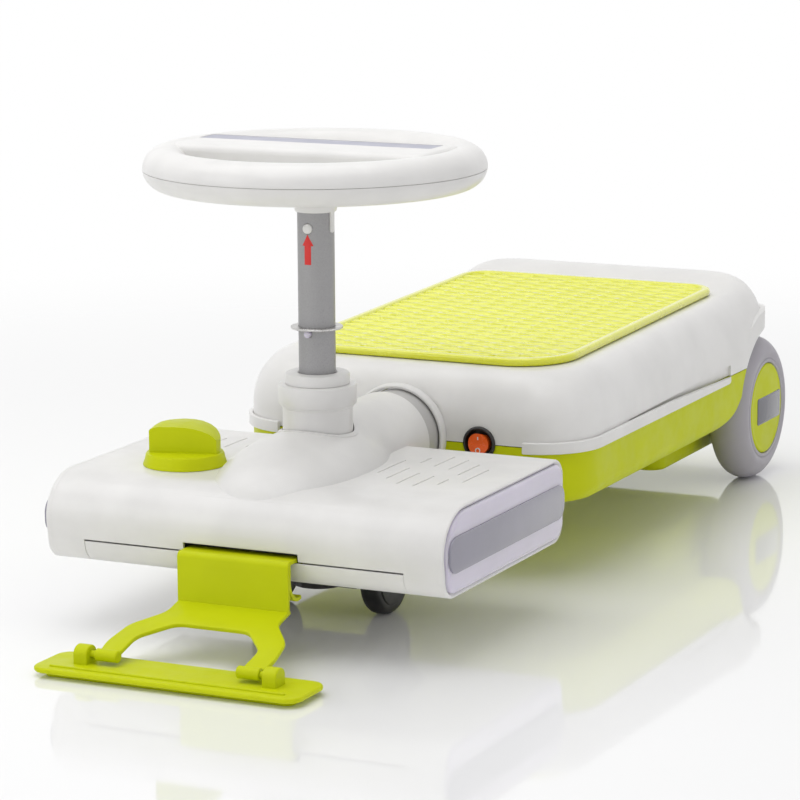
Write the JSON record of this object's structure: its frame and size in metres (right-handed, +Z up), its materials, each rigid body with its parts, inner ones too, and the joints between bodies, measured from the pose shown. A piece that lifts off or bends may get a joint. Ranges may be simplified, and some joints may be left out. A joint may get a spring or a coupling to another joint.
{
  "type": "ride-on sweeper toy",
  "caption": "Ride-on floor sweeper toy: steered sweeper head with lit end caps and a rotary knob, wheeled body with a ribbed lime deck, and a hooked-on mop.",
  "frame": {"origin": "bottom centre of the bounding box, on the floor", "axes": "+Y towards the rear wheels along the object's length, +X towards the head's right end as seen from the front, +Z up"},
  "size_m": [0.3892, 1.0606, 0.419],
  "materials": {
    "white_plastic": "warm white moulded plastic, satin gloss",
    "lime_plastic": "lime green moulded plastic, satin gloss",
    "grey_tyre": "grey lilac blow-moulded tyre, satin",
    "black_tyre": "black moulded wheel, matt",
    "column_grey": "grey metallic hammered paint on steel tube",
    "steel": "zinc plated steel",
    "black_plastic": "black moulded plastic",
    "orange_plastic": "orange red rocker",
    "lens_plastic": "milky lilac translucent cover",
    "dark_panel": "dark grey glossy panel",
    "circuit_board": "green circuit board",
    "bushing_plastic": "natural acetal bushing"
  },
  "bodies": {
    "chassis": {"battery_pack": "black_plastic", "body_lower_shell": "lime_plastic", "body_upper_shell": "white_plastic", "charge_socket": "black_plastic", "collar_ring": "white_plastic", "column_collar": "white_plastic", "control_board": "circuit_board", "deck_pad": "lime_plastic", "drive_cover": "lime_plastic", "drive_gearbox_left": "black_plastic", "drive_gearbox_right": "black_plastic", "drive_motor_left": "black_plastic", "drive_motor_right": "black_plastic", "end_lens_left": "lens_plastic", "end_lens_right": "lens_plastic", "end_panel_left": "dark_panel", "end_panel_right": "dark_panel", "head_base": "white_plastic", "head_front_strip": "white_plastic", "head_upper_casing": "white_plastic", "knob_switch": "black_plastic", "light_board_left": "circuit_board", "light_board_right": "circuit_board", "lower_bushing": "bushing_plastic", "upper_bushing": "bushing_plastic", "neck_frame": "steel", "neck_ring": "white_plastic", "neck_sleeve": "white_plastic", "rear_axle": "steel", "side_bumper_left": "white_plastic", "side_bumper_right": "white_plastic", "spar_clamp": "black_plastic", "switch_housing": "black_plastic"},
    "steering": {"wheel_upper_shell": "white_plastic", "wheel_lower_shell": "white_plastic", "wheel_hub": "white_plastic", "steering_column": "column_grey", "button_leaf_spring": "steel", "washer_stop": "lens_plastic", "column_washer": "steel", "steering_fork": "black_plastic", "fork_bolt": "steel", "fork_nut": "steel", "front_axle": "steel", "front_axle_cap_left": "black_plastic", "front_axle_cap_right": "black_plastic"},
    "snap_button": {"snap_button": "white_plastic"},
    "front_wheel_left": {"front_wheel_left": "black_tyre"},
    "front_wheel_right": {"front_wheel_right": "black_tyre"},
    "rear_wheel_left": {"rear_tyre_left": "grey_tyre", "hubcap_left": "lime_plastic"},
    "rear_wheel_right": {"rear_tyre_right": "grey_tyre", "hubcap_right": "lime_plastic"},
    "mode_knob": {"mode_knob": "lime_plastic"},
    "power_rocker": {"power_rocker": "orange_plastic"},
    "mop_arm": {"mop_arm": "lime_plastic", "mop_pin_left": "lime_plastic", "mop_pin_right": "lime_plastic"},
    "mop_plate": {"mop_plate": "lime_plastic"}
  },
  "joints": [
    {"name": "steering_turn", "type": "hinge", "parent": "chassis", "child": "steering", "pos_m": [0, -0.23825, 0.2], "axis": [0, 0, 1], "range_deg": [-40, 40]},
    {"name": "snap_button_press", "type": "slide", "parent": "steering", "child": "snap_button", "axis": [0, 1, 0], "range_m": [0, 0.0035], "stiffness_N_per_m": 800, "springref_m": -0.0005},
    {"name": "front_wheel_left_spin", "type": "hinge", "parent": "steering", "child": "front_wheel_left", "pos_m": [-0.054, -0.21625, 0.037], "axis": [1, 0, 0], "continuous": true},
    {"name": "front_wheel_right_spin", "type": "hinge", "parent": "steering", "child": "front_wheel_right", "pos_m": [0.054, -0.21625, 0.037], "axis": [1, 0, 0], "continuous": true},
    {"name": "rear_wheel_left_spin", "type": "hinge", "parent": "chassis", "child": "rear_wheel_left", "pos_m": [-0.131, 0.45575, 0.0745], "axis": [1, 0, 0], "continuous": true},
    {"name": "rear_wheel_right_spin", "type": "hinge", "parent": "chassis", "child": "rear_wheel_right", "pos_m": [0.131, 0.45575, 0.0745], "axis": [1, 0, 0], "continuous": true},
    {"name": "mode_knob_turn", "type": "hinge", "parent": "chassis", "child": "mode_knob", "pos_m": [-0.1015, -0.29725, 0.138], "axis": [0, 0, 1], "range_deg": [0, 90]},
    {"name": "power_rocker_tilt", "type": "hinge", "parent": "chassis", "child": "power_rocker", "pos_m": [0.081, -0.06925, 0.1285], "axis": [1, 0, 0], "range_deg": [0, 12]},
    {"name": "mop_arm_lift", "type": "hinge", "parent": "chassis", "child": "mop_arm", "pos_m": [0, -0.38475, 0.08485], "axis": [1, 0, 0], "range_deg": [-10, 0]},
    {"name": "mop_plate_tilt", "type": "hinge", "parent": "mop_arm", "child": "mop_plate", "pos_m": [0, -0.49825, 0.017], "axis": [1, 0, 0], "range_deg": [-25, 15]}
  ]
}
